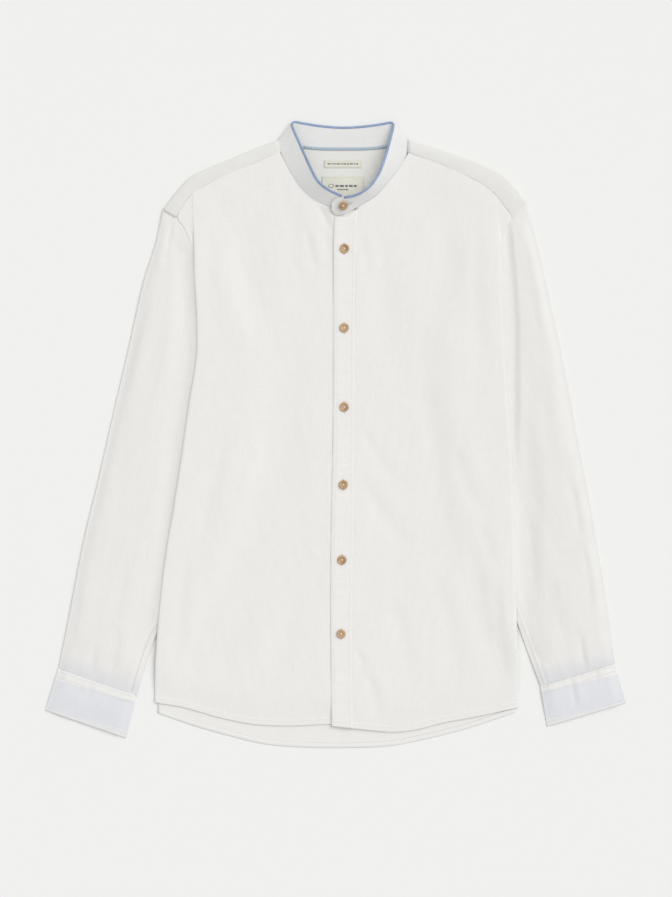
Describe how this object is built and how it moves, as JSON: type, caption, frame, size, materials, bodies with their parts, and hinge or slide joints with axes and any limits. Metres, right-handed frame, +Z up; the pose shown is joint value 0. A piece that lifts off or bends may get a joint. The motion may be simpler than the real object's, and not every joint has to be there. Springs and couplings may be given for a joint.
{
  "type": "mandarin collar shirt",
  "caption": "Long-sleeved band-collar shirt in light woven cloth, laid flat front up, with a button placket, bound collar edge and sleeves folded down beside the body.",
  "frame": {"origin": "on the surface that the shirt lies on, under the middle of the back panel: on the centre-front line, halfway between collar and shirt-tail", "axes": "+Z up from the table, out of the front of the shirt; +Y towards the collar; +X towards the wearer's left"},
  "size_m": [0.7372, 0.7957, 0.0263],
  "materials": {
    "body_cloth": "off-white slubbed linen and cotton plain weave, matt",
    "cuff_cloth": "very pale blue-grey chambray, matt",
    "collar_cloth": "off-white plain weave over interlining, matt",
    "blue_binding": "mid-blue bias binding, matt",
    "neck_tape": "blue and white herringbone tape",
    "label_weave": "cream satin-woven label",
    "button": "polished horn-like brown, lighter in the dish"
  },
  "bodies": {
    "root": {"back": "body_cloth", "yoke": "body_cloth", "front_right": "body_cloth", "front_left": "body_cloth", "placket": "body_cloth", "sleeve_right": "body_cloth", "sleeve_left": "body_cloth", "cuff_right": "cuff_cloth", "cuff_left": "cuff_cloth", "collar_band": "collar_cloth", "collar_binding": "blue_binding", "neck_tape": "neck_tape", "label_small": "label_weave", "label_large": "label_weave", "button_1": "button", "button_2": "button", "button_3": "button", "button_4": "button", "button_5": "button", "button_6": "button", "button_7": "button"}
  },
  "joints": []
}
